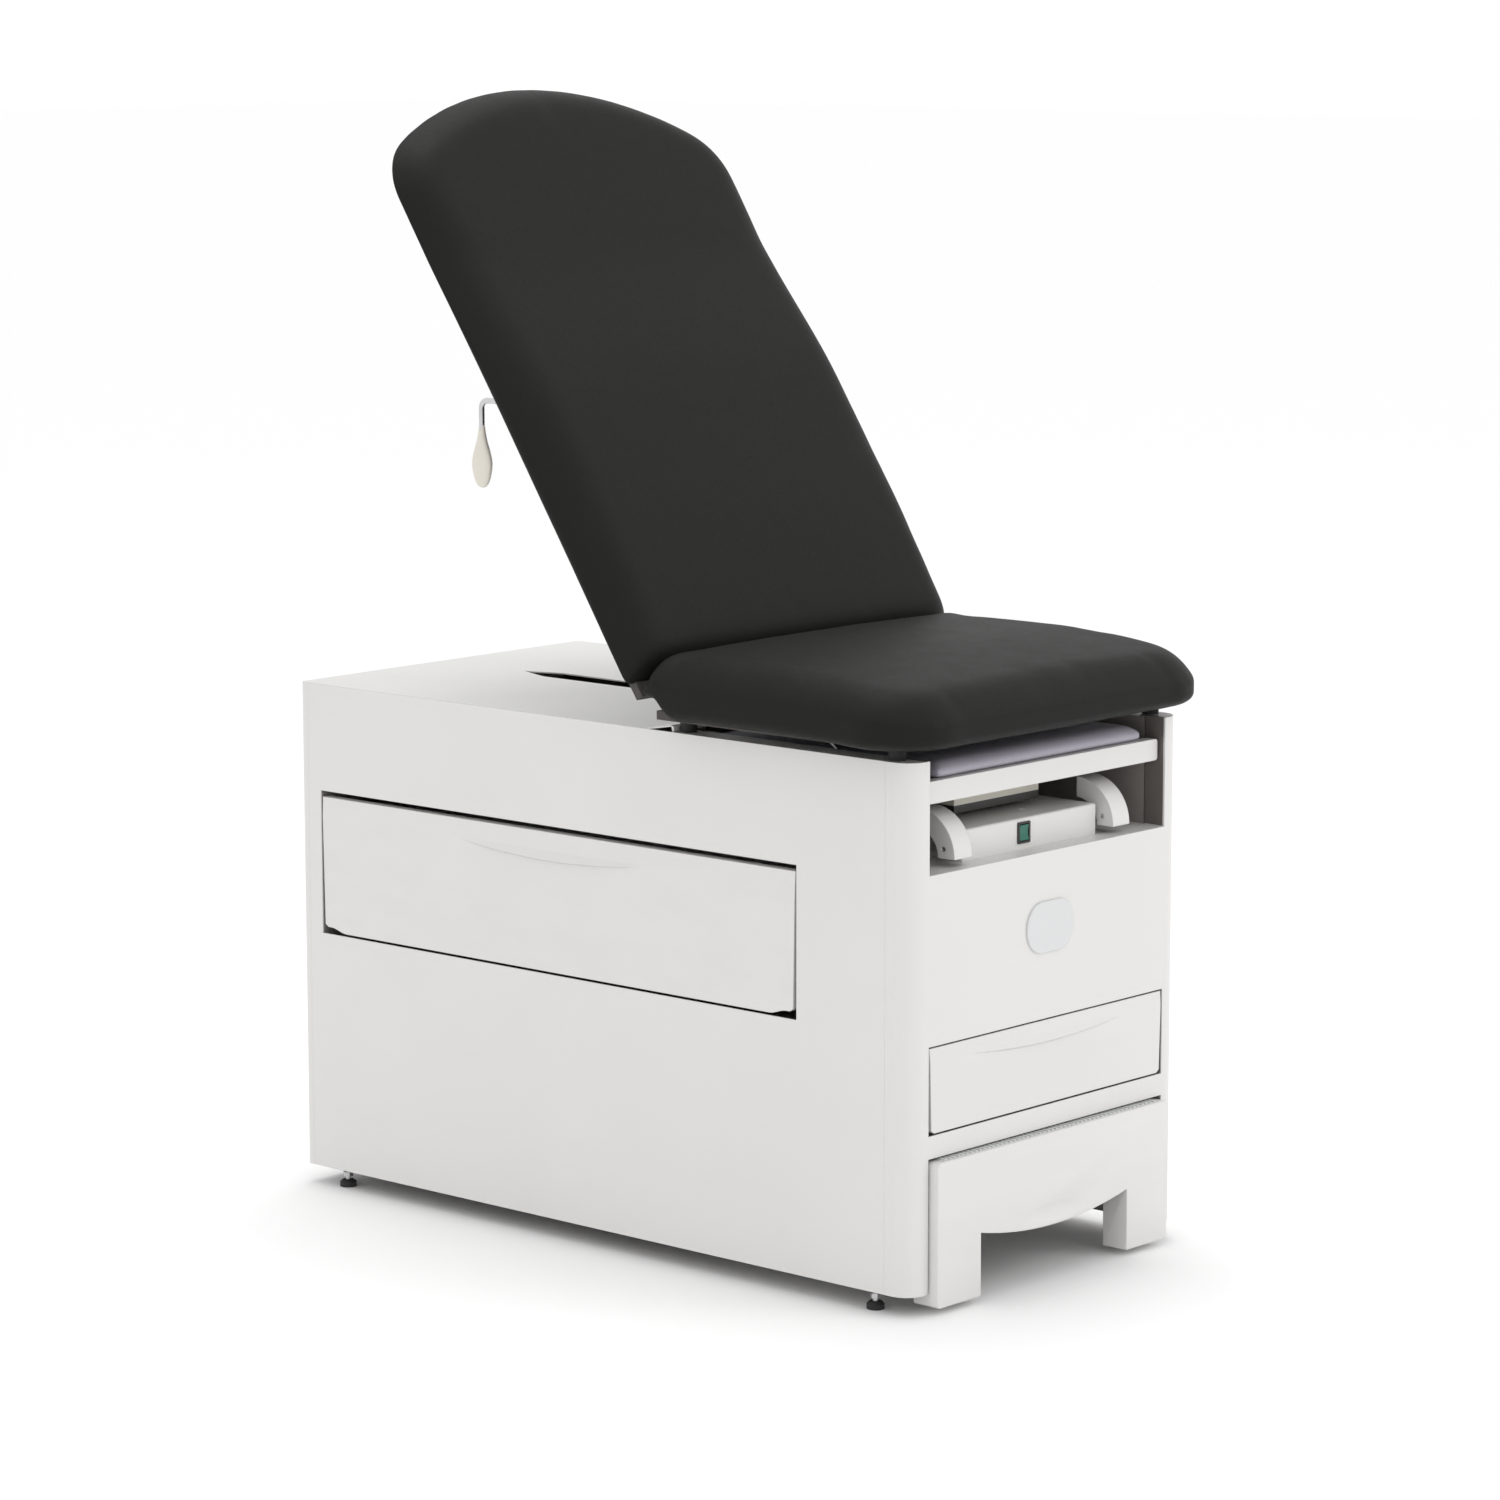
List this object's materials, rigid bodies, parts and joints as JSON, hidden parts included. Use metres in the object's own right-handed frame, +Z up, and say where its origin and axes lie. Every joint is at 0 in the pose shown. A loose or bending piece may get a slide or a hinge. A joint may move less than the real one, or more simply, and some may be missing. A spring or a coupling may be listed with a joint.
{
  "type": "medical exam table",
  "caption": "Box-base medical examination table with a padded seat, a gas-sprung reclining back, drawers, a pull-out step, stirrups, a treatment pan and a leg rest.",
  "frame": {"origin": "on the floor under the middle of the bounding box", "axes": "+Z up, the foot end with the step faces -Y, the head end +Y, the side drawer opens towards -X"},
  "size_m": [0.676, 1.177, 1.5908],
  "materials": {
    "cabinet_paint": "satin",
    "ivory_plastic": "satin",
    "drawer_plastic": "satin",
    "inner_sheet": "satin",
    "zinc_steel": "satin",
    "black_rubber": "matte",
    "charcoal_vinyl": "satin",
    "grey_vinyl": "satin",
    "plywood": "matte",
    "black_steel": "satin",
    "white_plastic": "satin",
    "black_plastic": "satin",
    "green_plastic": "gloss",
    "beige_plastic": "satin"
  },
  "bodies": {
    "base": {"base_rails": "inner_sheet", "deck": "cabinet_paint", "drawer_warmer": "black_rubber", "foot_pads": "black_rubber", "foot_studs": "zinc_steel", "front_badge": "white_plastic", "front_cross_wall": "inner_sheet", "front_drawer_runners": "zinc_steel", "front_wrapper": "cabinet_paint", "hinge_carrier": "inner_sheet", "left_side_panel": "cabinet_paint", "leg_rest_runners": "zinc_steel", "lower_shelf": "inner_sheet", "lower_walls": "inner_sheet", "middle_shelf": "inner_sheet", "pan_rails": "inner_sheet", "power_inlet": "black_plastic", "rear_cross_wall": "inner_sheet", "rear_wrapper": "cabinet_paint", "recess_shelf": "inner_sheet", "right_side_panel": "cabinet_paint", "seat_bumpers": "black_rubber", "side_drawer_runners": "zinc_steel", "spring_base_bracket": "inner_sheet", "step_runners": "zinc_steel", "stirrup_sleeves": "inner_sheet", "switch_bezel": "black_plastic", "switch_housing": "white_plastic", "upper_walls": "inner_sheet"},
    "side_drawer": {"side_drawer_front": "cabinet_paint", "side_drawer_box": "drawer_plastic", "side_drawer_slides": "zinc_steel"},
    "front_drawer": {"front_drawer_front": "cabinet_paint", "front_drawer_box": "drawer_plastic", "front_drawer_slides": "zinc_steel"},
    "step": {"step_body": "cabinet_paint", "step_tread": "white_plastic", "step_slides": "zinc_steel"},
    "leg_rest": {"leg_rest_bar": "ivory_plastic", "leg_rest_tray": "inner_sheet", "leg_rest_slides": "zinc_steel", "leg_rest_pad": "grey_vinyl"},
    "pan": {"treatment_pan": "ivory_plastic"},
    "left_stirrup": {"left_stirrup_arm": "zinc_steel"},
    "right_stirrup": {"right_stirrup_arm": "zinc_steel"},
    "left_cup": {"left_heel_cup": "white_plastic"},
    "right_cup": {"right_heel_cup": "white_plastic"},
    "rocker": {"rocker_switch": "green_plastic"},
    "seat": {"seat_board": "plywood", "seat_cushion": "charcoal_vinyl", "seat_brackets": "inner_sheet"},
    "prop": {"tilt_prop": "zinc_steel"},
    "back": {"back_board": "plywood", "back_cushion": "charcoal_vinyl", "back_frame": "black_steel", "back_hinge_plates": "inner_sheet"},
    "cylinder": {"gas_cylinder": "black_steel"},
    "rod": {"gas_rod": "zinc_steel"},
    "release_lever": {"release_rod": "zinc_steel", "release_paddle": "beige_plastic"}
  },
  "joints": [
    {"name": "side_drawer_slide", "type": "slide", "parent": "base", "child": "side_drawer", "axis": [-1, 0, 0], "range_m": [0, 0.215]},
    {"name": "front_drawer_slide", "type": "slide", "parent": "base", "child": "front_drawer", "axis": [0, -1, 0], "range_m": [0, 0.38]},
    {"name": "step_slide", "type": "slide", "parent": "base", "child": "step", "axis": [0, -1, 0], "range_m": [0, 0.24]},
    {"name": "leg_rest_slide", "type": "slide", "parent": "base", "child": "leg_rest", "axis": [0, -1, 0], "range_m": [0, 0.34]},
    {"name": "pan_slide", "type": "slide", "parent": "base", "child": "pan", "axis": [0, -1, 0], "range_m": [0, 0.25]},
    {"name": "left_stirrup_slide", "type": "slide", "parent": "base", "child": "left_stirrup", "axis": [0, -1, 0], "range_m": [0, 0.3]},
    {"name": "right_stirrup_slide", "type": "slide", "parent": "base", "child": "right_stirrup", "axis": [0, -1, 0], "range_m": [0, 0.3]},
    {"name": "left_cup_fold", "type": "hinge", "parent": "left_stirrup", "child": "left_cup", "pos_m": [-0.169, -0.5235, 0.609], "axis": [1, 0, 0], "range_deg": [0, 100]},
    {"name": "right_cup_fold", "type": "hinge", "parent": "right_stirrup", "child": "right_cup", "pos_m": [0.169, -0.5235, 0.609], "axis": [1, 0, 0], "range_deg": [0, 100]},
    {"name": "rocker_tilt", "type": "hinge", "parent": "base", "child": "rocker", "pos_m": [-0.015, -0.5135, 0.6085], "axis": [1, 0, 0], "range_deg": [-8, 8]},
    {"name": "seat_tilt", "type": "hinge", "parent": "base", "child": "seat", "pos_m": [0, -0.1235, 0.771], "axis": [1, 0, 0], "range_deg": [-7, 0]},
    {"name": "prop_swing", "type": "hinge", "parent": "seat", "child": "prop", "pos_m": [-0.246, -0.3705, 0.75], "axis": [1, 0, 0], "range_deg": [0, 47.6]},
    {"name": "back_tilt", "type": "hinge", "parent": "base", "child": "back", "pos_m": [0, -0.1235, 0.771], "axis": [1, 0, 0], "range_deg": [-56.5, 3.5]},
    {"name": "cylinder_swing", "type": "hinge", "parent": "base", "child": "cylinder", "pos_m": [0, 0.00011, 0.39058], "axis": [1, 0, 0], "range_deg": [-28.5, 2]},
    {"name": "rod_swing", "type": "hinge", "parent": "back", "child": "rod", "pos_m": [0, 0.1334, 1.0776], "axis": [1, 0, 0], "range_deg": [-2, 28.5]},
    {"name": "release_squeeze", "type": "hinge", "parent": "back", "child": "release_lever", "pos_m": [0, 0.16295, 1.16302], "axis": [1, 0, 0], "range_deg": [-12, 0], "stiffness_Nm_per_rad": 1.2, "springref_deg": 5.73}
  ],
  "couplings": [
    {"joint": "prop_swing", "follows": "seat_tilt", "ratio": -6.77},
    {"joint": "cylinder_swing", "follows": "back_tilt", "ratio": 0.5},
    {"joint": "rod_swing", "follows": "back_tilt", "ratio": -0.5}
  ]
}
